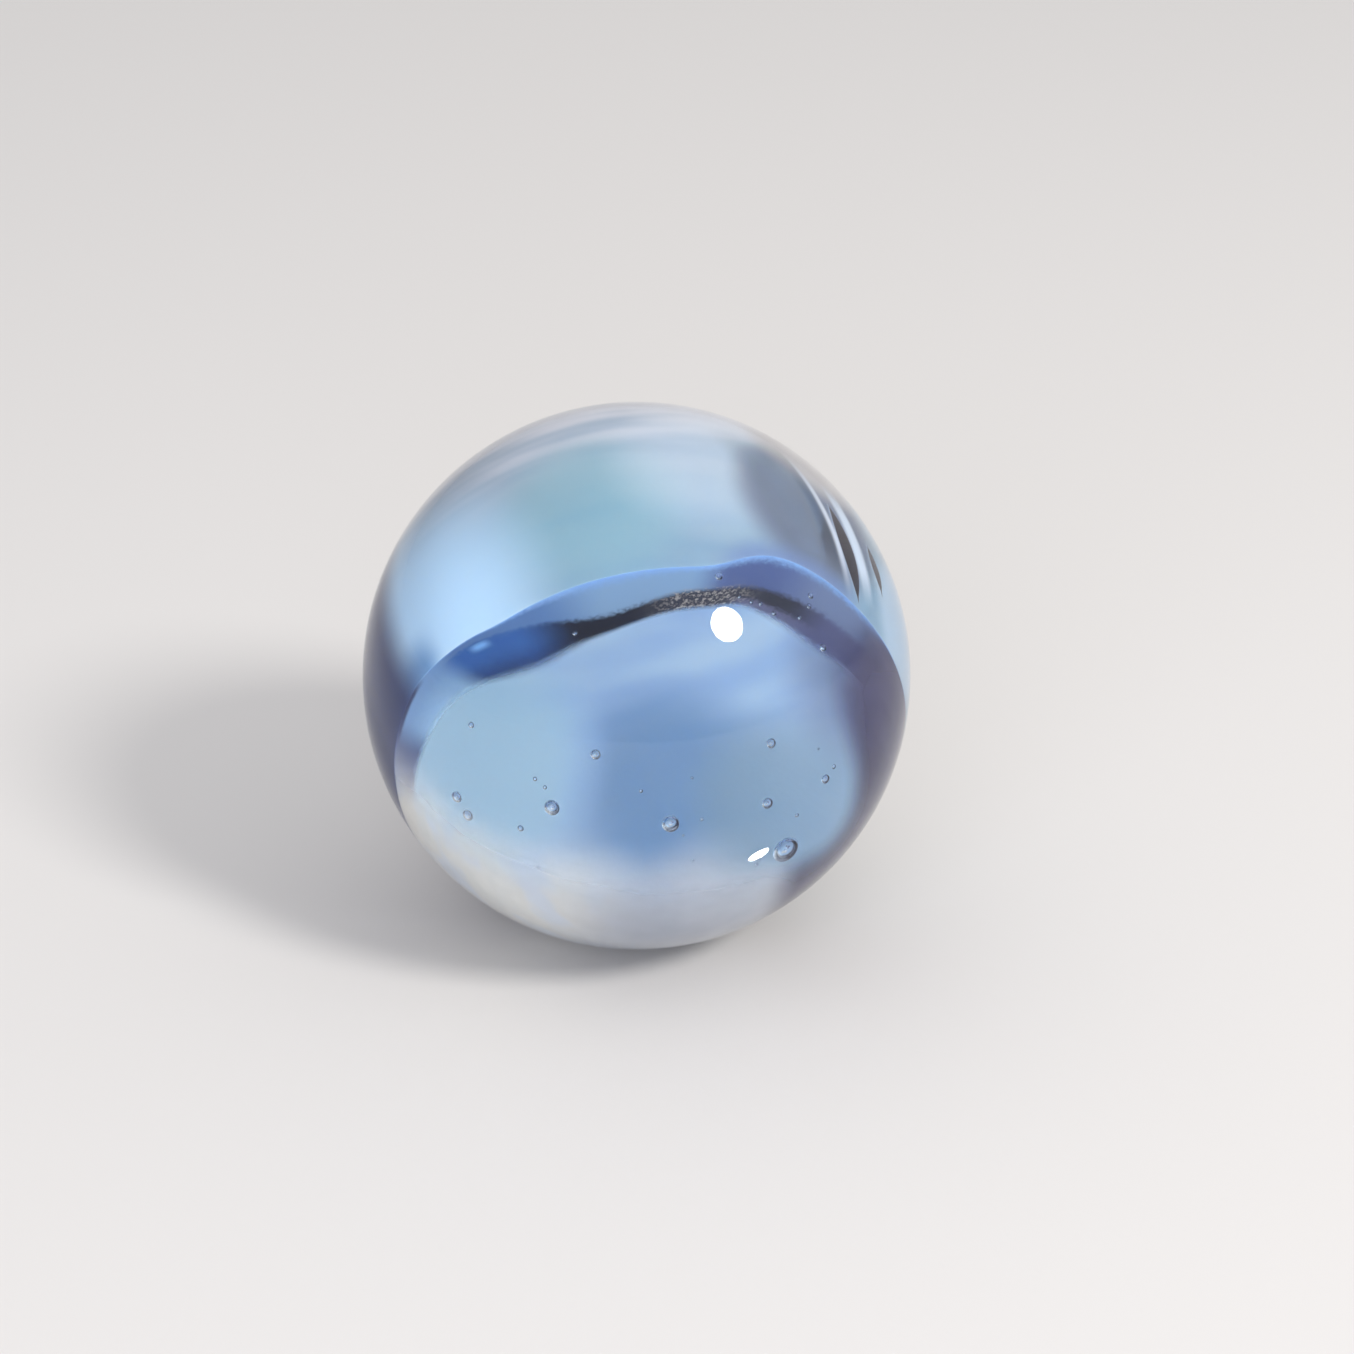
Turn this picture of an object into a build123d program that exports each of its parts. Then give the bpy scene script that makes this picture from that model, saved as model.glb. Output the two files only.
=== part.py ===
from build123d import *
from math import acos, cos, radians, sin, sqrt
import os

# A glass marble. The ball is clear glass with a layer of milky blue glass over its top and back, flush
# with the surface. The layer is a deep cap that thickens from its crown to a flat lip, and three tears run
# through it at the right. Below the lip, the front and the underside of the ball are a clear window.
# The origin is the centre of the ball, +Z is up, and -Y is the side that the window faces.

# The ball
ball_diameter = 16.0

# The blue layer, a cap about an axis that leans up from the level and is turned to the left of the back
window_offset = 3.1  # how far the plane of the lip lies past the centre of the ball
crown_thickness = 0.5
lip_width = 1.45
axis_elevation = 20.0  # degrees
axis_turn = 10.0  # degrees

# The clear core inside the layer has straight tapers, which meet at these shares of the angle from the
# crown to the lip, where the layer has these shares of its growth from the crown's thickness to the lip's
taper_angle_and_growth_shares = [(0.3, 0.1), (0.55, 0.22), (0.8, 0.42)]

# The core leans about its crown, so that the lip is wide across the top and narrow under the ball
core_lean = 4.4  # degrees
core_lean_turn = 195.0  # degrees about the cap's axis, from the top to the right

# Tears in the layer, each near a meridian of the cap: the turn about its axis from the top, the slant off
# the meridian, the angles from the crown at which the tear starts and ends, all in degrees, and its share
# of the widest tear
widest_tear = 1.8
tear_angles_and_width_shares = [
    (35.0, 14.0, 72.0, 108.0, 1.0),
    (47.5, 11.0, 86.0, 107.0, 0.46),
    (56.0, 8.0, 88.0, 102.0, 0.31),
]

cut_overrun = 0.5
ball_radius = ball_diameter / 2


def core_section():
    """Half of the clear core's section, beside the cap's axis, from the crown to past the lip."""
    lip_angle = acos(-window_offset / ball_radius)
    points = [(0, -ball_radius), (0, ball_radius - crown_thickness)]
    for angle_share, growth_share in taper_angle_and_growth_shares:
        thickness = crown_thickness + (lip_width - crown_thickness) * growth_share
        radius = ball_radius - thickness
        points.append((radius * sin(lip_angle * angle_share), radius * cos(lip_angle * angle_share)))
    # the last taper passes through the inner edge of the lip and runs on to the underside of the ball
    last_radius, last_height = points[-1]
    lip_inner = sqrt(ball_radius**2 - window_offset**2) - lip_width
    taper_slope = (last_radius - lip_inner) / (last_height + window_offset)
    points.append((lip_inner - taper_slope * (ball_radius - window_offset), -ball_radius))
    return Plane.XZ * make_face(Polyline(*points, close=True))


def tear(turn, slant, start, end, width_share):
    """A lens-shaped cut from the centre out through the layer, long along a line near a meridian."""
    half_length = ball_radius * sin(radians((end - start) / 2))
    half_width = widest_tear * width_share / 2
    lens = ThreePointArc((-half_length, 0), (0, half_width), (half_length, 0))
    lens += ThreePointArc((half_length, 0), (0, -half_width), (-half_length, 0))
    cut = extrude(make_face(lens), ball_radius + cut_overrun)
    return Rot(Z=turn) * Rot(Y=(start + end) / 2) * Rot(Z=slant) * cut


def blue_layer():
    """The cap about +Z: the ball above the plane of the lip, less the leaning core and the tears."""
    crown = Pos(Z=ball_radius)
    lean = Rot(Z=core_lean_turn) * crown * Rot(Y=-core_lean) * crown.inverse()
    cap = split(Sphere(ball_radius), Plane.XY.offset(-window_offset), keep=Keep.TOP)
    cap -= lean * revolve(core_section(), axis=Axis.Z)
    for angles_and_share in tear_angles_and_width_shares:
        cap -= tear(*angles_and_share)
    return cap


layer = blue_layer()
ball = Sphere(ball_radius)
# the cap leans back from upright and turns to the left, and the ball keeps its place about the origin
place = Rot(Z=axis_turn) * Rot(X=axis_elevation - 90) * Rot(Z=-90)
parts = {"clear_glass": place * (ball - layer), "blue_layer": place * layer}
os.makedirs("parts", exist_ok=True)
for name, part in parts.items():
    export_step(part, f"parts/{name}.step")
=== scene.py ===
import math

import bmesh
import bpy
import numpy as np
from mathutils import Matrix, Vector, noise


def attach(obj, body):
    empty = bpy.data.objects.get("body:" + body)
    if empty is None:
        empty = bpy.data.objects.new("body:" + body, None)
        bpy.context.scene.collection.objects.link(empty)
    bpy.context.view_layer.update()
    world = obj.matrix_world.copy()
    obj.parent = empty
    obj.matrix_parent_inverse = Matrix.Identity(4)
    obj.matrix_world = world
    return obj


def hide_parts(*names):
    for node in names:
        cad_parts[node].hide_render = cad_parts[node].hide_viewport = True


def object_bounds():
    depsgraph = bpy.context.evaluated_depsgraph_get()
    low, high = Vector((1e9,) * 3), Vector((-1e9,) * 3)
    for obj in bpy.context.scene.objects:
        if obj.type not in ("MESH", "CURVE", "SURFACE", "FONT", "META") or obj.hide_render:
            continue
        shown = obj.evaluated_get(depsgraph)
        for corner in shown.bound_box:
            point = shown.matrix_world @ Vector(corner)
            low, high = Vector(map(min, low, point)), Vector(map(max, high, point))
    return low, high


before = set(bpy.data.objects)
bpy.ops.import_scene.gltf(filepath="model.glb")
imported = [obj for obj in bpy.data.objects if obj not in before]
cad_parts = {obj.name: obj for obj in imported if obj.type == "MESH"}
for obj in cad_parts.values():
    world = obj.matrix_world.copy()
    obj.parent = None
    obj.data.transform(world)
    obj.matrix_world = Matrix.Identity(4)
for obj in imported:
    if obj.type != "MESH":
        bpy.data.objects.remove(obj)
cad_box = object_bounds()

# The clear body is a ball of soda-lime glass, gathered hot and rolled round between grooves, so its skin has
# the shine of glass that cooled free. Air bubbles from the melt lie in its lower front. The blue layer is
# fused into its top and back, and the skin runs over both.
ball_radius = (cad_box[1].x - cad_box[0].x) / 2
mm = 0.001

# where each bubble lies: degrees from the front to the right, degrees above the level, depth and width in mm
large_bubbles = [
    (36.3, -21.1, 1.00, 0.76),
    (7.3, -8.6, 1.20, 0.47),
    (-20.0, -7.2, 1.60, 0.41),
    (-42.0, -7.6, 0.80, 0.32),
    (-39.9, -11.8, 0.90, 0.32),
    (33.1, 5.6, 1.80, 0.26),
    (45.3, -5.5, 1.10, 0.26),
    (-11.4, -42.0, 0.90, 0.35),
    (-10.6, 5.3, 2.40, 0.26),
    (34.0, -11.9, 2.20, 0.29),
    (-39.7, 9.5, 1.20, 0.17),
    (-27.4, -13.1, 1.30, 0.17),
    (24.2, 44.8, 0.42, 0.24),
    (49.1, 35.0, 0.41, 0.18),
    (48.3, 33.2, 0.64, 0.15),
    (38.8, 34.7, 1.05, 0.13),
    (45.5, 31.8, 0.95, 0.13),
    (50.8, 23.4, 1.24, 0.21),
    (-16.6, 34.6, 1.21, 0.15),
    (33.6, 38.6, 1.09, 0.11),
    (30.3, 40.3, 1.02, 0.11),
    (36.1, 37.6, 1.09, 0.11),
]
fine_bubble_count = 20
fine_bubble_sizes = (0.06, 0.13)
fine_bubble_depths = (0.5, 1.4)
fine_bubble_longitudes = (-48, 48)
fine_bubble_latitudes = (-46, 8)
bubble_squeeze = (1.0, 0.92, 1.04, 1.0)
skin_wave_depth = 0.004 * mm
skin_wave_length = 4.0 * mm
bubble_draw = np.random.default_rng(7)


def bubble_place(longitude, latitude, depth):
    """The middle of a bubble that lies this many mm under the skin."""
    lon, lat = math.radians(longitude), math.radians(latitude)
    outward = Vector((math.sin(lon) * math.cos(lat), -math.cos(lon) * math.cos(lat), math.sin(lat)))
    return outward * (ball_radius - depth * mm)


def hollow_bubble(body, place, width):
    """A bubble in the body's mesh: a small void, so its faces look into the air that it holds."""
    squeeze = Matrix.Diagonal(bubble_squeeze)
    made = bmesh.ops.create_icosphere(
        body, subdivisions=3, radius=width * mm / 2, matrix=Matrix.Translation(place) @ squeeze
    )
    faces = {face for corner in made["verts"] for face in corner.link_faces}
    bmesh.ops.reverse_faces(body, faces=list(faces))


def clear_body():
    """The ball with its rolled skin and its bubbles."""
    body = bmesh.new()
    bmesh.ops.create_icosphere(body, subdivisions=6, radius=ball_radius)
    for corner in body.verts:
        wave = noise.noise(corner.co / skin_wave_length)
        corner.co += corner.co.normalized() * (wave - 1) * skin_wave_depth
    for longitude, latitude, depth, width in large_bubbles:
        hollow_bubble(body, bubble_place(longitude, latitude, depth), width)
    for _ in range(fine_bubble_count):
        longitude = bubble_draw.uniform(*fine_bubble_longitudes)
        latitude = bubble_draw.uniform(*fine_bubble_latitudes)
        depth = bubble_draw.uniform(*fine_bubble_depths)
        width = bubble_draw.uniform(*fine_bubble_sizes)
        hollow_bubble(body, bubble_place(longitude, latitude, depth), width)
    mesh = bpy.data.meshes.new("clear_body")
    body.to_mesh(mesh)
    body.free()
    mesh.shade_smooth()
    piece = bpy.data.objects.new("clear_body", mesh)
    bpy.context.scene.collection.objects.link(piece)
    return piece


def node(tree, kind, inputs=None, **settings):
    """A new shader node: its settings, and for each named input a value or the socket that feeds it."""
    made = tree.nodes.new(kind)
    for name, value in settings.items():
        setattr(made, name, value)
    for name, value in (inputs or {}).items():
        if isinstance(value, bpy.types.NodeSocket):
            tree.links.new(value, made.inputs[name])
        else:
            made.inputs[name].default_value = value
    return made


def clear_glass():
    """Clear glass with a faint unevenness of tint and polish. It lets lamps shine in on the layer."""
    material = bpy.data.materials.new("clear_glass")
    material.use_nodes = True
    tree = material.node_tree
    tree.nodes.clear()
    place = node(tree, "ShaderNodeTexCoord").outputs["Object"]
    haze = node(tree, "ShaderNodeTexNoise", {"Vector": place, "Scale": 420.0, "Detail": 1.0})
    melt = node(tree, "ShaderNodeMix", {"Factor": haze.outputs["Fac"]}, data_type="RGBA")
    melt.inputs["A"].default_value = (0.93, 0.96, 0.98, 1)
    melt.inputs["B"].default_value = (0.99, 0.99, 1.0, 1)
    polish = node(tree, "ShaderNodeMapRange", {"Value": haze.outputs["Fac"], "To Min": 0.0, "To Max": 0.03})
    ripple = node(
        tree, "ShaderNodeBump", {"Height": haze.outputs["Fac"], "Strength": 0.2, "Distance": 0.02 * mm}
    )
    body = node(
        tree,
        "ShaderNodeBsdfPrincipled",
        {
            "Base Color": melt.outputs["Result"],
            "Roughness": polish.outputs["Result"],
            "IOR": 1.5,
            "Transmission Weight": 1.0,
            "Normal": ripple.outputs["Normal"],
        },
    )
    lamp_light = node(tree, "ShaderNodeBsdfTransparent", {"Color": (0.93, 0.96, 0.98, 1)})
    path = node(tree, "ShaderNodeLightPath")
    either = node(tree, "ShaderNodeMixShader", {"Fac": path.outputs["Is Shadow Ray"]})
    tree.links.new(body.outputs["BSDF"], either.inputs[1])
    tree.links.new(lamp_light.outputs["BSDF"], either.inputs[2])
    node(tree, "ShaderNodeOutputMaterial", {"Surface": either.outputs["Shader"]})
    return material


ball = clear_body()
ball.data.materials.append(clear_glass())
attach(ball, "root")
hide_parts("clear_glass")

# The blue layer is milky glass that was folded over the clear gather while both were soft. It is a deep cap
# that thickens to a wavy lip across the front. Where the fold closed, a dark line is painted as shade under the
# lip, with dust in it. At the right it is drawn out to a grey film and then tears, which leaves two threads with
# clear glass between them.
cap_elevation = math.radians(20)
cap_turn = math.radians(10)
layer_depth = 0.05 * mm
crown_thickness = 0.5 * mm
lip_roll = 0.16 * mm
scatter_length = 0.6 * mm

# round the lip, in degrees from the top to the right: how far the edge lies past the middle of the ball, how
# wide the lip is, both in mm, and the share of its width at which the dark line of painted shade in the fold
# begins
edge_offsets = [
    (-180, 3.1), (-100, 2.9), (-65, 2.65), (-54, 2.78), (-46, 2.91), (-40, 3.06), (-18, 3.04), (8, 3.08),
    (12.5, 2.95), (17, 2.69), (23, 2.51), (30, 2.53), (35, 2.62), (42, 2.76), (55, 3.0), (70, 3.13),
    (120, 3.1),
]
lip_widths = [
    (-180, 0.7), (-120, 0.9), (-95, 1.2), (-80, 1.5), (-66, 1.8), (-57, 2.1), (-49, 2.6), (-42, 2.64),
    (-35, 2.66), (-29, 2.56), (-22, 2.46), (-16, 2.4), (-10, 2.27), (-5, 2.14), (0, 2.0), (6, 1.9),
    (10, 1.92), (20, 2.35), (28, 2.6), (38, 2.6), (48, 2.5), (60, 2.1), (80, 1.6), (110, 1.1), (140, 0.8),
]
fold_shares = [
    (-180, 0.6), (-62, 0.12), (-52, 0.08), (-42, 0.1), (-34, 0.24), (-28, 0.38), (-24, 0.5), (-20, 0.6),
    (-14, 0.65), (-9, 0.64), (-4, 0.6), (0, 0.53), (4, 0.48), (10, 0.48), (17, 0.56), (24, 0.57),
    (30, 0.53), (38, 0.47), (60, 0.4),
]

# how the layer thickens from crown to lip: a share that grows steadily, and the rest close to the lip
steady_share, steady_power, lip_power = 0.4, 1.2, 9
lip_angle = 115.0

# the tears: degrees round the cap at mid length, lean of the line, start and end from the crown, width in mm
tears = [
    (44.2, 0.32, 88.0, 109.0, 0.6),
    (54.8, 0.40, 91.0, 101.0, 0.45),
]
torn_from, torn_to = 14.0, 72.0
tear_guard_angle = 20

# lines in the torn zone slant: across it they are told by the degrees round the cap less this share of the
# degrees from the crown, and down it by the degrees from the crown
torn_slant = 0.32
left_thread, left_thread_reach = (8.3, 10.2), (80, 105)
right_thread, right_thread_reach = (14.9, 18.6), (84, 105)
film_left, film_right, film_reach = (-11.0, -2.0), (9.4, 8.2), (78, 104)
film_share = 0.6
rows_down, rows_lip = 84, 24
columns_whole, columns_torn = 380, [20, 8, 14]

crown_axis = Vector(
    (
        -math.cos(cap_elevation) * math.sin(cap_turn),
        math.cos(cap_elevation) * math.cos(cap_turn),
        math.sin(cap_elevation),
    )
)
cap_right = crown_axis.cross(Vector((0, 0, 1))).normalized()
cap_up = cap_right.cross(crown_axis)
cap_place = Matrix((cap_up, cap_right, crown_axis)).transposed().to_4x4()


def round_the_lip(table, azimuths):
    """A smooth closed curve through a few values that are given round the lip."""
    turns = np.arange(-180.0, 180.0, 0.5)
    values = np.interp(turns, [row[0] for row in table], [row[1] for row in table], period=360)
    for _ in range(2):
        values = sum(np.roll(values, shift) for shift in range(-5, 6)) / 11
    return np.interp(azimuths, turns, values, period=360)


def tear_edges(tear, polar):
    """Both edges of a tear at these angles from the crown, in degrees. They meet where it is closed."""
    middle_turn, slant, start, end, width = tear
    along = (polar - (start + end) / 2) / ((end - start) / 2)
    middle = middle_turn + slant * np.clip(polar - (start + end) / 2, start - end, end - start)
    half = width * mm / 2 * np.clip(1 - along**2, 0, None)
    spread = np.degrees(half / (ball_radius * np.sin(np.radians(np.maximum(polar, tear_guard_angle)))))
    return middle - spread, middle + spread


def layer_columns(polar):
    """The azimuth of every row and column, with columns that run down both edges of every tear."""
    high = polar.shape[0]
    columns = [np.repeat(np.linspace(torn_to, torn_from + 360, columns_whole)[None, :], high, 0)]
    left = np.full(high, torn_from)
    first = columns_whole
    gaps = []
    for tear, count in zip(tears + [None], columns_torn):
        right, beyond = (np.full(high, torn_to), None) if tear is None else tear_edges(tear, polar[:, first])
        share = np.linspace(0, 1, count)
        columns.append(left[:, None] * (1 - share) + right[:, None] * share)
        first += count
        if tear is not None:
            gaps.append(first - 1)
        left = beyond
    return np.concatenate(columns, 1), gaps


def layer_points():
    """The rows of the cap: out over the ball, across the lip, and along the inside, each from the crown."""
    wide = columns_whole + sum(columns_torn)
    round_edge = layer_columns(np.full((1, wide), lip_angle))[0][0]
    skin = ball_radius - layer_depth
    edge_height = -round_the_lip(edge_offsets, round_edge) * mm
    edge_reach = np.sqrt(skin**2 - edge_height**2)
    lip = round_the_lip(lip_widths, round_edge) * mm
    fold = round_the_lip(fold_shares, round_edge)
    down = np.linspace(0, 1, rows_down)
    # outside
    polar = down[:, None] * np.arctan2(edge_reach, edge_height)
    turn, gaps = layer_columns(np.degrees(polar))
    outside = (skin * np.sin(polar), skin * np.cos(polar), turn, np.repeat(down[:, None], wide, 1))
    # across the lip, which rolls out a little
    share = np.linspace(0, 1, rows_lip + 2)[1:-1, None]
    roll = lip_roll * np.sin(math.pi * share) * np.minimum(lip / lip.max(), 1)
    row = np.where(share < fold, 1 + 0.5 * share / fold, 1.5 + 0.5 * (share - fold) / (1 - fold))
    across = (edge_reach - lip * share, edge_height - roll, np.repeat(round_edge[None, :], rows_lip, 0), row)
    # inside
    inner_edge = np.arctan2(edge_reach - lip, edge_height)
    lip_thickness = skin - np.hypot(edge_reach - lip, edge_height)
    polar = down[:, None] * inner_edge
    growth = steady_share * down[:, None] ** steady_power + (1 - steady_share) * down[:, None] ** lip_power
    radius = skin - crown_thickness - (lip_thickness - crown_thickness) * growth
    inside = (radius * np.sin(polar), radius * np.cos(polar), turn, np.repeat(3 - down[:, None], wide, 1))
    return outside, across, inside, gaps


def layer_piece():
    """One closed skin of the three faces, with walls round the tears."""
    outside, across, inside, gaps = layer_points()
    strips = [np.concatenate([out, lip, back[::-1]]) for out, lip, back in zip(outside, across, inside)]
    reach, height, turn, along = strips
    angle = np.radians(turn)
    points = np.stack([reach * np.cos(angle), reach * np.sin(angle), height], -1).reshape(-1, 3)
    high, wide = reach.shape
    faces = []
    for row in range(high - 1):
        for column in range(wide):
            beside = (column + 1) % wide
            if column not in gaps:
                near, far = row * wide, (row + 1) * wide
                faces.append((near + column, near + beside, far + beside, far + column))
    skin_count = len(faces)
    for column in gaps:
        is_open = turn[:rows_down, column + 1] - turn[:rows_down, column] > 1e-6
        for row in np.flatnonzero(is_open[:-1] | is_open[1:]):
            under = high - 1 - row
            for side in (column, column + 1):
                corners = (row, row + 1, under - 1, under)
                faces.append(tuple(at * wide + side for at in corners))
    mesh = bpy.data.meshes.new("blue_layer_glass")
    mesh.from_pydata(points.tolist(), [], faces)
    mark = mesh.attributes.new("along", "FLOAT", "POINT")
    mark.data.foreach_set("value", along.astype(np.float32).ravel())
    torn = mesh.attributes.new("torn_wall", "FLOAT", "FACE")
    torn.data.foreach_set("value", (np.arange(len(faces)) >= skin_count).astype(np.float32))
    skin = bmesh.new()
    skin.from_mesh(mesh)
    bmesh.ops.remove_doubles(skin, verts=skin.verts, dist=1e-7)
    bmesh.ops.recalc_face_normals(skin, faces=skin.faces)
    skin.to_mesh(mesh)
    skin.free()
    mesh.shade_smooth()
    mesh.set_sharp_from_angle(angle=math.radians(40))
    mesh.transform(cap_place)
    piece = bpy.data.objects.new("blue_layer_glass", mesh)
    bpy.context.scene.collection.objects.link(piece)
    return piece


def tint(red, green, blue):
    """A glass colour as it was matched, in display values, for a colour socket."""
    shares = [value / 255 for value in (red, green, blue)]
    linear = [share / 12.92 if share < 0.04045 else ((share + 0.055) / 1.055) ** 2.4 for share in shares]
    return (*linear, 1)


def cap_direction(azimuth, polar):
    """A direction from the middle of the ball, in degrees round the cap from its top and from its crown."""
    turn, angle = math.radians(azimuth), math.radians(polar)
    return math.sin(angle) * math.cos(turn), math.sin(angle) * math.sin(turn), math.cos(angle)


def cap_coordinates(tree):
    """The place on the cap in ball radii: X to the top of the lip, Y to the right, Z to the crown."""
    metres = node(tree, "ShaderNodeTexCoord").outputs["Object"]
    upright = cap_place.inverted().to_euler()
    share = 1 / ball_radius
    turned = node(
        tree, "ShaderNodeMapping", {"Vector": metres, "Rotation": upright, "Scale": (share, share, share)}
    )
    return turned.outputs["Vector"]


def over(tree, below, above, mask):
    """One colour laid over another where the mask lets it show."""
    mixed = node(tree, "ShaderNodeMix", {"Factor": mask}, data_type="RGBA")
    for name, colour in (("A", below), ("B", above)):
        socket = next(entry for entry in mixed.inputs if entry.name == name and entry.type == "RGBA")
        if isinstance(colour, bpy.types.NodeSocket):
            tree.links.new(colour, socket)
        else:
            socket.default_value = colour
    return next(entry for entry in mixed.outputs if entry.type == "RGBA")


def ramp(tree, value, low, high, smooth=True):
    """0 where the value is at low, 1 where it is at high."""
    kind = "SMOOTHSTEP" if smooth else "LINEAR"
    limits = {"Value": value, "From Min": low, "From Max": high}
    made = node(tree, "ShaderNodeMapRange", limits, interpolation_type=kind)
    return made.outputs["Result"]


def times(tree, value, by):
    """A mask, made weaker by a number or by another mask."""
    return node(tree, "ShaderNodeMath", {0: value, 1: by}, operation="MULTIPLY").outputs[0]


def patch(tree, outward, azimuth, polar, reach, edge):
    """The mask of a soft round patch: 1 within its reach of a middle, 0 past its edge, in degrees."""
    near = node(
        tree, "ShaderNodeVectorMath", {0: outward, 1: cap_direction(azimuth, polar)}, operation="DOT_PRODUCT"
    ).outputs["Value"]
    return ramp(tree, near, math.cos(math.radians(reach + edge)), math.cos(math.radians(reach)))


def between(tree, value, start, end, soft):
    """1 where the value lies from start to end, with a soft step at both."""
    return times(tree, ramp(tree, value, start - soft, start + soft), ramp(tree, value, end + soft, end - soft))


def streak_group():
    """Soft streaks, drawn out along one way of the glass."""
    group = bpy.data.node_groups.new("glass_streaks", "ShaderNodeTree")
    for name, kind in (("Place", "Vector"), ("Stretch", "Vector"), ("Shift", "Vector"), ("Scale", "Float")):
        group.interface.new_socket(name=name, in_out="INPUT", socket_type=f"NodeSocket{kind}")
    group.interface.new_socket(name="Streak", in_out="OUTPUT", socket_type="NodeSocketFloat")
    given = node(group, "NodeGroupInput").outputs
    drawn = node(
        group,
        "ShaderNodeMapping",
        {"Vector": given["Place"], "Scale": given["Stretch"], "Location": given["Shift"]},
    ).outputs["Vector"]
    cloud = node(
        group, "ShaderNodeTexNoise", {"Vector": drawn, "Scale": given["Scale"], "Detail": 2.0, "Roughness": 0.5}
    )
    node(group, "NodeGroupOutput", {"Streak": cloud.outputs["Fac"]})
    return group


glass_streaks = streak_group()


def streaks(tree, place, stretch, scale, shift):
    """The streaks at one place in a glass, with their own stretch and size."""
    given = {"Place": place, "Stretch": stretch, "Shift": (shift, shift, shift), "Scale": scale}
    return node(tree, "ShaderNodeGroup", given, node_tree=glass_streaks).outputs["Streak"]


def outside_colour(tree, place, outward, azimuth, polar, along):
    """Milky blue: whiter to the crown, partly a painted reflection of the bright room, a painted pool of light at
    the left, painted shade where it turns under, grey at the tears.
    """
    bands = streaks(tree, place, (0.8, 0.8, 4.5), 1.4, 3.0)
    # whiter toward the crown: partly the glass, partly a painted reflection of the bright room
    colour = over(tree, tint(132, 155, 171), tint(205, 206, 212), ramp(tree, polar, 95, 62))
    colour = over(tree, colour, tint(106, 141, 167), times(tree, ramp(tree, bands, 0.4, 0.7), 0.5))
    colour = over(tree, colour, tint(134, 171, 179), times(tree, patch(tree, outward, -14, 95, 8, 16), 0.5))
    # painted light: the left side, away from the key lamp, is made bright
    colour = over(tree, colour, tint(190, 216, 234), times(tree, patch(tree, outward, -62, 103, 9, 32), 0.9))
    colour = over(tree, colour, tint(200, 206, 214), times(tree, patch(tree, outward, 12, 86, 4, 20), 0.4))
    colour = over(tree, colour, tint(106, 113, 132), times(tree, patch(tree, outward, 36, 92, 13, 9), 0.9))
    colour = over(tree, colour, tint(182, 178, 178), times(tree, patch(tree, outward, 41, 72, 8, 9), 0.9))
    colour = over(tree, colour, tint(156, 176, 194), patch(tree, outward, 70, 102, 11, 6))
    soft_edge = times(tree, between(tree, azimuth, 12, 46, 5), ramp(tree, along, 0.95, 1.0))
    colour = over(tree, colour, tint(104, 124, 164), times(tree, soft_edge, 0.7))
    corner = times(tree, between(tree, azimuth, -100, -57, 4), ramp(tree, along, 0.9, 0.99))
    colour = over(tree, colour, tint(120, 158, 194), corner)
    # painted shade where the layer turns under at the left, away from the lamp
    shaded_underside = times(tree, ramp(tree, azimuth, -60, -72), ramp(tree, polar, 58, 78))
    return over(tree, colour, tint(34, 56, 108), shaded_underside)


def lip_colour(tree, azimuth, along, grain):
    """A blue strip, then the dark fold, painted shade with dust in it. Both turn violet to the right and end at
    the left.
    """
    wander = node(tree, "ShaderNodeMapRange", {"Value": grain, "To Min": -0.07, "To Max": 0.07}).outputs["Result"]
    row = node(tree, "ShaderNodeMath", {0: along, 1: wander}, operation="ADD").outputs[0]
    strip = over(tree, tint(124, 155, 186), tint(80, 98, 144), ramp(tree, azimuth, 4, 14))
    strip = over(tree, strip, tint(84, 118, 164), ramp(tree, azimuth, -14, -32))
    strip = over(tree, strip, tint(108, 124, 156), ramp(tree, azimuth, 24, 40))
    # the fold's dark blues are painted shade under the lip, and pale dust is laid over them below
    fold = over(tree, tint(4, 14, 38), tint(48, 52, 68), ramp(tree, azimuth, -12, 4))
    wedge = over(tree, tint(50, 96, 160), tint(30, 62, 116), ramp(tree, row, 1.62, 1.9))
    fold = over(tree, fold, wedge, ramp(tree, azimuth, -24, -40))
    violet_edge = times(tree, ramp(tree, azimuth, 14, 22), ramp(tree, row, 1.68, 1.8))
    fold = over(tree, fold, tint(96, 100, 130), violet_edge)
    fold = over(tree, fold, tint(86, 92, 128), ramp(tree, azimuth, 32, 46))
    dust = times(tree, ramp(tree, grain, 0.46, 0.64), between(tree, azimuth, -2, 20, 6))
    fold = over(tree, fold, tint(172, 168, 164), times(tree, dust, 0.8))
    colour = over(tree, tint(124, 160, 204), strip, ramp(tree, row, 1.0, 1.15))
    colour = over(tree, colour, fold, ramp(tree, row, 1.42, 1.55))
    glint = times(tree, between(tree, azimuth, -48.5, -44.5, 1.5), between(tree, along, 1.52, 1.57, 0.03))
    colour = over(tree, colour, tint(124, 176, 226), glint)
    corner = over(tree, tint(118, 152, 190), tint(148, 184, 214), ramp(tree, row, 1.5, 2.0))
    # painted shade: the lip's outer half and its far corner go dark blue at the left, away from the lamp
    shaded_outer_half = times(tree, ramp(tree, azimuth, -62, -68), ramp(tree, row, 1.4, 1.15))
    corner = over(tree, corner, tint(34, 50, 92), shaded_outer_half)
    corner = over(tree, corner, tint(64, 84, 128), ramp(tree, azimuth, -74, -84))
    colour = over(tree, colour, corner, ramp(tree, azimuth, -52, -60))
    # whitish at the lower left: partly milky glass, partly painted light where the ball focuses the lamp
    return over(tree, colour, tint(224, 221, 214), ramp(tree, azimuth, -95, -104))


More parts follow.
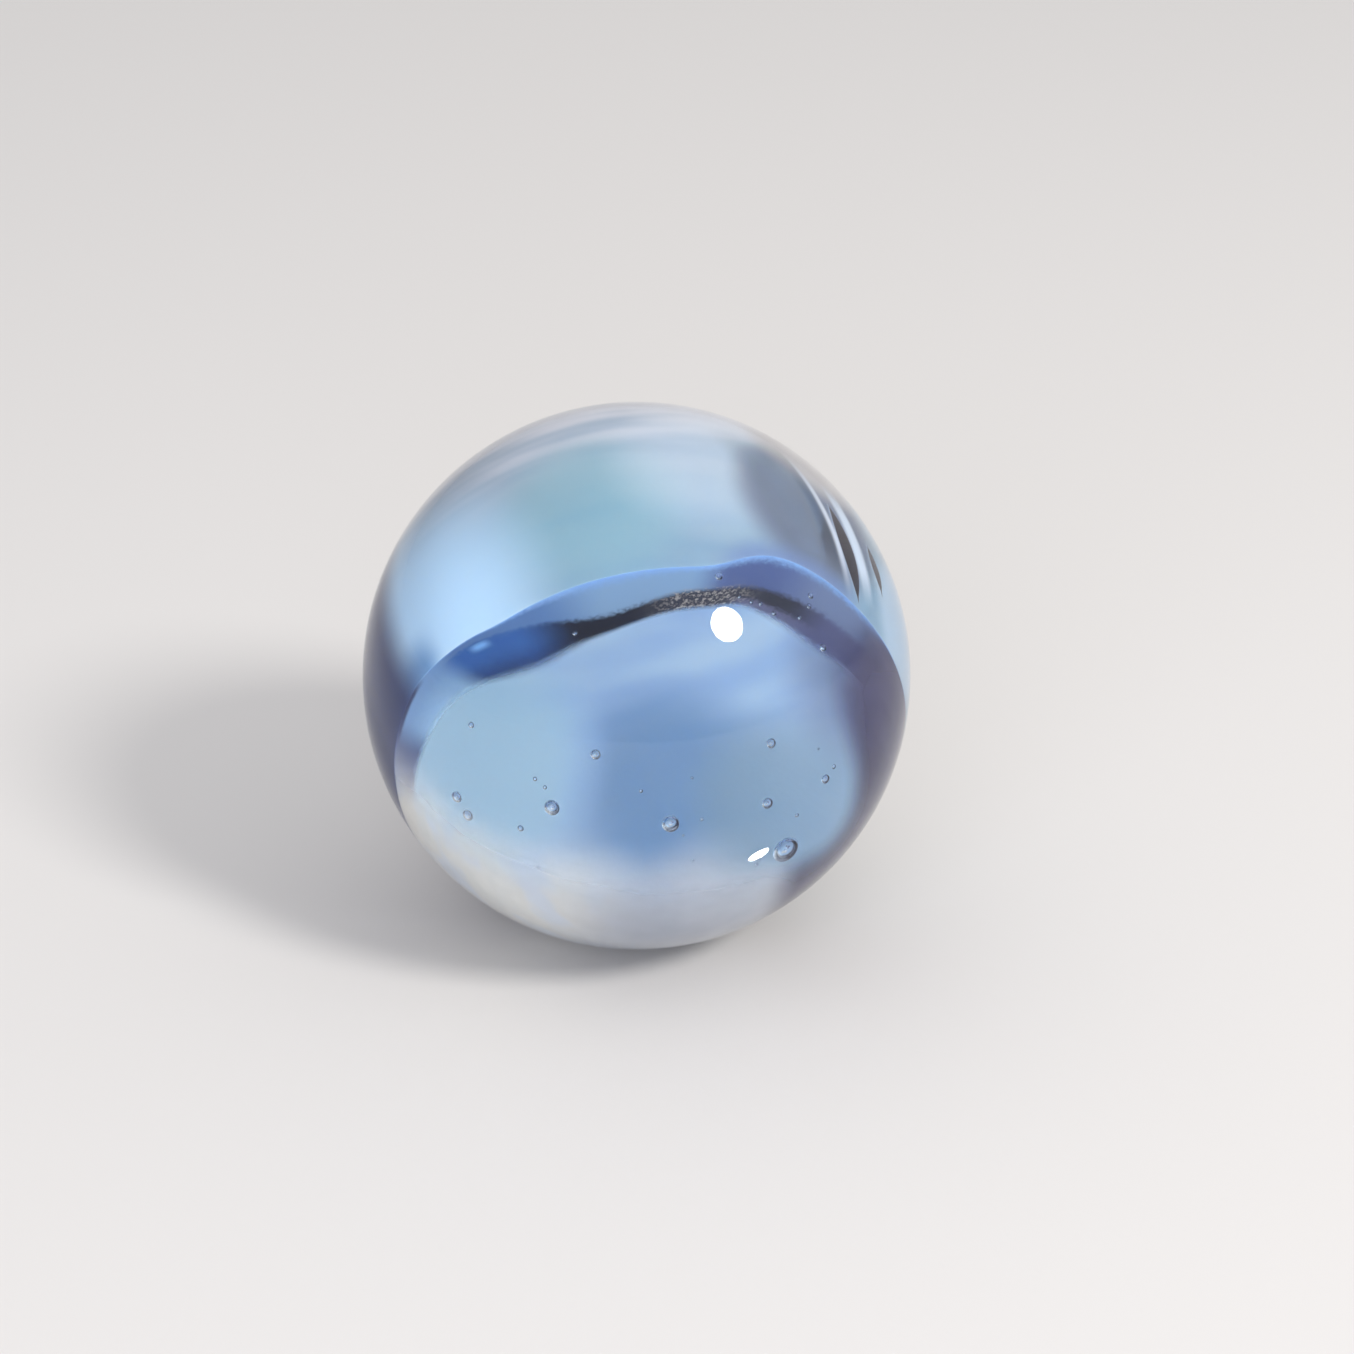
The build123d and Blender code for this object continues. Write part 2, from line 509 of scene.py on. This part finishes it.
def inside_colour(tree, place, outward):
    """Light blue with fine streaks: deep in the middle, a painted pool of light below, painted shade in violet at
    the right and under the lip.
    """
    fine = streaks(tree, place, (2.5, 1.5, 7.0), 2.2, 5.0)
    colour = over(tree, tint(214, 232, 245), tint(191, 215, 238), ramp(tree, fine, 0.35, 0.7))
    colour = over(tree, colour, tint(121, 163, 197), times(tree, patch(tree, outward, 167, 58, 3, 9), 0.75))
    colour = over(tree, colour, tint(214, 238, 255), times(tree, patch(tree, outward, 188, 53, 4, 9), 0.9))
    # a painted pool of light below, where the ball focuses the lamp through the window
    colour = over(tree, colour, tint(254, 250, 238), times(tree, patch(tree, outward, 181, 73, 7, 7), 0.95))
    colour = over(tree, colour, tint(244, 238, 226), times(tree, patch(tree, outward, 164, 75, 7, 7), 0.9))
    colour = over(tree, colour, tint(166, 190, 200), times(tree, patch(tree, outward, 156, 62, 3, 7), 0.8))
    # painted shade: dark violet where the lower right rim looks in
    colour = over(tree, colour, tint(92, 94, 130), times(tree, patch(tree, outward, 135, 57, 7, 8), 0.8))
    # a painted shadow of the lip along the top edge
    return over(tree, colour, tint(116, 118, 134), times(tree, patch(tree, outward, 147, 36, 5, 4), 0.9))


def milky_blue():
    """The layer's own glass, which scatters light. It lets some through at the film and the lip's inner edge."""
    material = bpy.data.materials.new("milky_blue_glass")
    material.use_nodes = True
    tree = material.node_tree
    tree.nodes.clear()
    place = cap_coordinates(tree)
    axes = node(tree, "ShaderNodeSeparateXYZ", {0: place}).outputs
    outward = node(tree, "ShaderNodeVectorMath", {0: place}, operation="NORMALIZE").outputs["Vector"]
    rise = node(tree, "ShaderNodeSeparateXYZ", {0: outward}).outputs["Z"]
    polar = node(tree, "ShaderNodeMath", {0: rise}, operation="ARCCOSINE").outputs[0]
    polar = node(tree, "ShaderNodeMath", {0: polar}, operation="DEGREES").outputs[0]
    azimuth = node(tree, "ShaderNodeMath", {0: axes["Y"], 1: axes["X"]}, operation="ARCTAN2").outputs[0]
    azimuth = node(tree, "ShaderNodeMath", {0: azimuth}, operation="DEGREES").outputs[0]
    along = node(tree, "ShaderNodeAttribute", attribute_name="along").outputs["Fac"]
    torn_wall = node(tree, "ShaderNodeAttribute", attribute_name="torn_wall").outputs["Fac"]
    grain = node(
        tree, "ShaderNodeTexNoise", {"Vector": place, "Scale": 70.0, "Detail": 2.0, "Roughness": 0.7}
    ).outputs["Fac"]
    colour = outside_colour(tree, place, outward, azimuth, polar, along)
    colour = over(tree, colour, lip_colour(tree, azimuth, along, grain), ramp(tree, along, 0.998, 1.004))
    colour = over(tree, colour, inside_colour(tree, place, outward), ramp(tree, along, 1.995, 2.01))
    lean = node(
        tree, "ShaderNodeMath", {0: polar, 1: -torn_slant, 2: azimuth}, operation="MULTIPLY_ADD"
    ).outputs[0]
    thread = times(tree, between(tree, lean, *left_thread, 0.6), between(tree, polar, *left_thread_reach, 6))
    colour = over(tree, colour, tint(186, 192, 202), thread)
    thread = times(tree, between(tree, lean, *right_thread, 1.0), between(tree, polar, *right_thread_reach, 5))
    colour = over(tree, colour, tint(190, 200, 212), thread)
    colour = over(tree, colour, tint(72, 66, 72), torn_wall)
    film = times(tree, ramp(tree, lean, *film_left), ramp(tree, lean, *film_right))
    film = times(tree, film, between(tree, polar, *film_reach, 8))
    thin_edge = times(tree, ramp(tree, along, 1.82, 2.0), ramp(tree, along, 2.06, 2.0))
    thin = node(
        tree, "ShaderNodeMath", {0: times(tree, film, film_share), 1: thin_edge}, operation="MAXIMUM"
    ).outputs[0]
    cover = node(tree, "ShaderNodeMapRange", {"Value": thin, "To Min": 1.0, "To Max": 0.0}).outputs["Result"]
    gloss = node(tree, "ShaderNodeMapRange", {"Value": grain, "To Min": 0.4, "To Max": 0.6}).outputs["Result"]
    bump = node(tree, "ShaderNodeBump", {"Height": grain, "Strength": 0.15, "Distance": 0.02 * mm})
    face = node(
        tree,
        "ShaderNodeBsdfPrincipled",
        {
            "Base Color": colour,
            "Roughness": gloss,
            "Specular IOR Level": 0.08,
            "Subsurface Weight": 1.0,
            "Subsurface Radius": (1.0, 1.0, 1.0),
            "Subsurface Scale": scatter_length,
            "Alpha": cover,
            "Normal": bump.outputs["Normal"],
        },
    )
    # light that has bounced once already meets a plain pale blue, which is all that it shows of the layer
    bounced = node(tree, "ShaderNodeBsdfDiffuse", {"Color": tint(218, 236, 254)})
    path = node(tree, "ShaderNodeLightPath")
    either = node(tree, "ShaderNodeMixShader", {"Fac": path.outputs["Is Diffuse Ray"]})
    tree.links.new(face.outputs["BSDF"], either.inputs[1])
    tree.links.new(bounced.outputs["BSDF"], either.inputs[2])
    node(tree, "ShaderNodeOutputMaterial", {"Surface": either.outputs["Shader"]})
    return material


layer = layer_piece()
layer.data.materials.append(milky_blue())
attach(layer, "root")
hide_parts("blue_layer")

# Past the lip the layer runs out into a thin veil, drawn down over the right side and the underside of the
# ball as the glass was rolled. It is dark violet at the right, partly its own colour and partly painted shade,
# and milky white below and at the left, partly painted light. It lies just under the skin, and it fades into
# the clear window.
veil_depth = 0.05 * mm
veil_thickness = 0.03 * mm
veil_room = 0.04 * mm
window_middle = Vector((0.0, -0.899, 0.438))

# round the window, in degrees from its foot to the right: where the veil begins, in degrees from the middle,
# and over how many more it thickens
veil_inner = [
    (-80, 50), (-68, 50), (-57, 47), (-39, 40), (-15, 35), (14, 35), (32, 45), (43, 57), (51, 62), (60, 57),
    (68, 49), (78, 41), (94, 39), (106, 40),
]
veil_fades = [(-80, 28), (20, 28), (50, 16), (106, 16)]
veil_from, veil_to = -80.0, 106.0
veil_end_fade = 20.0
veil_rows, veil_columns = 40, 186
walk_steps, walk_step = 400, 0.2


def veil_piece():
    """A closed thin sheet from the window to the lip, with a mark that falls from 1 at the lip to 0."""
    window_right = Vector((1, 0, 0))
    window_foot = window_right.cross(window_middle)
    window_place = np.array((window_foot, window_right, window_middle))
    turn = np.linspace(veil_from, veil_to, veil_columns)
    inner = np.interp(turn, [row[0] for row in veil_inner], [row[1] for row in veil_inner])
    thickening = np.interp(turn, [row[0] for row in veil_fades], [row[1] for row in veil_fades])
    for _ in range(4):
        inner[3:-3] = sum(np.roll(inner, shift)[3:-3] for shift in range(-3, 4)) / 7

    def direction(polar):
        flat, upright = np.radians(turn), np.radians(polar)
        reach = np.sin(upright)
        across = np.stack([reach * np.cos(flat), reach * np.sin(flat), np.cos(upright)], -1)
        return across @ window_place

    # walk out from the window until the lip is reached
    outer = inner.copy()
    cap_axes = np.array(cap_place.to_3x3())
    for _ in range(walk_steps):
        on_cap = direction(outer) @ cap_axes
        azimuth = np.degrees(np.arctan2(on_cap[:, 1], on_cap[:, 0]))
        lip_face = -round_the_lip(edge_offsets, azimuth) * mm
        clear = on_cap[:, 2] * (ball_radius - veil_depth) < lip_face - veil_room
        outer = np.where(clear, outer + walk_step, outer)
    share = np.linspace(0, 1, veil_rows)[:, None]
    polar = inner + (outer - inner) * share
    end_fade = np.minimum(np.minimum(turn - veil_from, veil_to - turn) / veil_end_fade, 1)
    fade = np.clip((polar - inner) / thickening, 0, 1) * end_fade
    points, marks = [], []
    for depth, order in ((veil_depth, 1), (veil_depth + veil_thickness, -1)):
        sheet = (ball_radius - depth) * np.stack([direction(row) for row in polar])
        points.append(sheet[::order].reshape(-1, 3))
        marks.append(fade[::order].ravel())
    high = 2 * veil_rows
    faces = []
    for row in range(high):
        below = (row + 1) % high
        for column in range(veil_columns - 1):
            near, far = row * veil_columns + column, below * veil_columns + column
            faces.append((near, near + 1, far + 1, far))
    for column in (0, veil_columns - 1):
        for row in range(veil_rows - 1):
            pair = [at * veil_columns + column for at in (row, row + 1, high - 2 - row, high - 1 - row)]
            faces.append(tuple(pair))
    mesh = bpy.data.meshes.new("milk_veil")
    mesh.from_pydata(np.concatenate(points).tolist(), [], faces)
    mark = mesh.attributes.new("veil", "FLOAT", "POINT")
    mark.data.foreach_set("value", np.concatenate(marks).astype(np.float32))
    sheet = bmesh.new()
    sheet.from_mesh(mesh)
    bmesh.ops.recalc_face_normals(sheet, faces=sheet.faces)
    sheet.to_mesh(mesh)
    sheet.free()
    mesh.shade_smooth()
    piece = bpy.data.objects.new("milk_veil", mesh)
    bpy.context.scene.collection.objects.link(piece)
    return piece


def veil_glass():
    """Thin glass that fades out into the window: dark violet at the right, partly painted shade, and milky white
    below, partly painted light and greyer under the ball as painted shade.
    """
    material = bpy.data.materials.new("veil_glass")
    material.use_nodes = True
    tree = material.node_tree
    tree.nodes.clear()
    place = cap_coordinates(tree)
    axes = node(tree, "ShaderNodeSeparateXYZ", {0: place}).outputs
    veil = node(tree, "ShaderNodeAttribute", attribute_name="veil").outputs["Fac"]
    wisps = streaks(tree, place, (2.0, 2.0, 5.0), 2.0, 4.0)
    # milky white, partly painted light where the ball focuses the lamp
    white = over(tree, tint(234, 231, 222), tint(218, 223, 228), ramp(tree, wisps, 0.4, 0.65))
    # painted shade: the white turns grey toward the right, under the ball
    white = over(tree, white, tint(180, 183, 190), ramp(tree, axes["Y"], -0.5, -0.1))
    # dark violet at the right: partly violet glass, partly painted shade
    violet = over(tree, tint(58, 58, 92), tint(48, 48, 84), ramp(tree, wisps, 0.4, 0.65))
    violet_side = ramp(tree, axes["Y"], 0.3, 0.46)
    colour = over(tree, white, violet, violet_side)
    milk = node(
        tree,
        "ShaderNodeMapRange",
        {"Value": wisps, "From Min": 0.3, "From Max": 0.7, "To Min": 0.7, "To Max": 0.88},
    ).outputs["Result"]
    densest = node(
        tree, "ShaderNodeMath", {0: milk, 1: times(tree, violet_side, 0.95)}, operation="MAXIMUM"
    ).outputs[0]
    gloss = node(tree, "ShaderNodeMapRange", {"Value": wisps, "To Min": 0.4, "To Max": 0.6}).outputs["Result"]
    bump = node(tree, "ShaderNodeBump", {"Height": wisps, "Strength": 0.1, "Distance": 0.02 * mm})
    face = node(
        tree,
        "ShaderNodeBsdfPrincipled",
        {
            "Base Color": colour,
            "Roughness": gloss,
            "Specular IOR Level": 0.05,
            "Alpha": times(tree, ramp(tree, veil, 0.0, 1.0), densest),
            "Normal": bump.outputs["Normal"],
        },
    )
    node(tree, "ShaderNodeOutputMaterial", {"Surface": face.outputs["BSDF"]})
    return material


veil = veil_piece()
veil.data.materials.append(veil_glass())
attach(veil, "root")

# The floor is a plain pale board that the marble stands on for its picture. It is no part of the marble.
floor_half = 0.6
floor_corners = [(-1, -1), (1, -1), (1, 1), (-1, 1)]
floor_mesh = bpy.data.meshes.new("floor")
floor_mesh.from_pydata(
    [(x * floor_half, y * floor_half, cad_box[0].z) for x, y in floor_corners],
    [],
    [(0, 1, 2, 3)],
)
floor = bpy.data.objects.new("floor", floor_mesh)
bpy.context.scene.collection.objects.link(floor)
floor_paint = bpy.data.materials.new("pale_floor")
floor_paint.use_nodes = True
floor_shader = floor_paint.node_tree.nodes["Principled BSDF"]
floor_shader.inputs["Base Color"].default_value = (0.72, 0.70, 0.68, 1)
floor_shader.inputs["Roughness"].default_value = 0.7
floor_mesh.materials.append(floor_paint)

# Soft studio light: a small bright lamp at the upper right gives the ball its highlight. A wide lamp in front
# lights the inside of the layer through the window and gives no highlight. A tiny lamp close to the ball, low
# at the right, gives the small second highlight and nothing else. The room is pale, and brightest above.
def lamp(name, direction, distance, size, watts, colour):
    """A round soft lamp that looks at the middle of the ball."""
    light = bpy.data.lights.new(name, "AREA")
    light.shape = "DISK"
    light.size = size
    light.energy = watts
    light.color = colour
    piece = bpy.data.objects.new(name, light)
    bpy.context.scene.collection.objects.link(piece)
    outward = Vector(direction).normalized()
    piece.location = outward * distance
    piece.rotation_euler = outward.to_track_quat("Z", "Y").to_euler()
    return piece


lamp(
    "key_lamp", direction=(0.588, -0.522, 0.620), distance=0.3, size=0.07, watts=0.55, colour=(1.0, 0.98, 0.95)
)
front_lamp = lamp(
    "front_lamp", direction=(-0.2, -0.93, 0.32), distance=0.35, size=0.3, watts=0.6, colour=(0.93, 0.96, 1.1)
)
front_lamp.visible_glossy = False
low_lamp = lamp(
    "low_lamp",
    direction=(0.526, -0.641, -0.559),
    distance=12.49 * mm,
    size=1.3 * mm,
    watts=0.0001,
    colour=(1.0, 0.98, 0.95),
)
low_lamp.data.shape = "ELLIPSE"
low_lamp.data.size_y = 0.7 * mm
low_lamp.rotation_euler.rotate_axis("Z", math.radians(25))
low_lamp.visible_camera = False
low_lamp.visible_diffuse = False
low_lamp.visible_transmission = False

room = bpy.data.worlds.new("studio")
room.use_nodes = True
bpy.context.scene.world = room
room_tree = room.node_tree
room_tree.nodes.clear()
look = node(room_tree, "ShaderNodeTexCoord").outputs["Generated"]
look_axes = node(room_tree, "ShaderNodeSeparateXYZ", {0: look}).outputs
to_right = ramp(room_tree, look_axes["X"], -0.8, 0.5)
sides = over(room_tree, (0.72, 0.73, 0.76, 1), (0.84, 0.83, 0.82, 1), to_right)
sky = over(room_tree, sides, (1.0, 1.0, 1.02, 1), ramp(room_tree, look_axes["Z"], 0.1, 0.9))
light = node(room_tree, "ShaderNodeBackground", {"Color": sky, "Strength": 0.72})
node(room_tree, "ShaderNodeOutputWorld", {"Surface": light.outputs["Background"]})

# The camera stands in front of the marble and looks down on it, a little to its right.
camera_elevation = math.radians(26)
camera_distance = 0.1
lens_length = 90.9
aim_right, aim_down = 1.177 * mm, 0.047 * mm
to_camera = Vector((0, -math.cos(camera_elevation), math.sin(camera_elevation)))
picture_up = Vector((0, math.sin(camera_elevation), math.cos(camera_elevation)))
lens = bpy.data.cameras.new("camera")
lens.lens = lens_length
lens.sensor_width = 36
lens.clip_start = 0.001
camera = bpy.data.objects.new("camera", lens)
bpy.context.scene.collection.objects.link(camera)
camera.location = to_camera * camera_distance
aim = Vector((aim_right, 0, 0)) - picture_up * aim_down
camera.rotation_euler = (aim - camera.location).to_track_quat("-Z", "Y").to_euler()
bpy.context.scene.camera = camera
bpy.context.scene.view_settings.view_transform = "Standard"
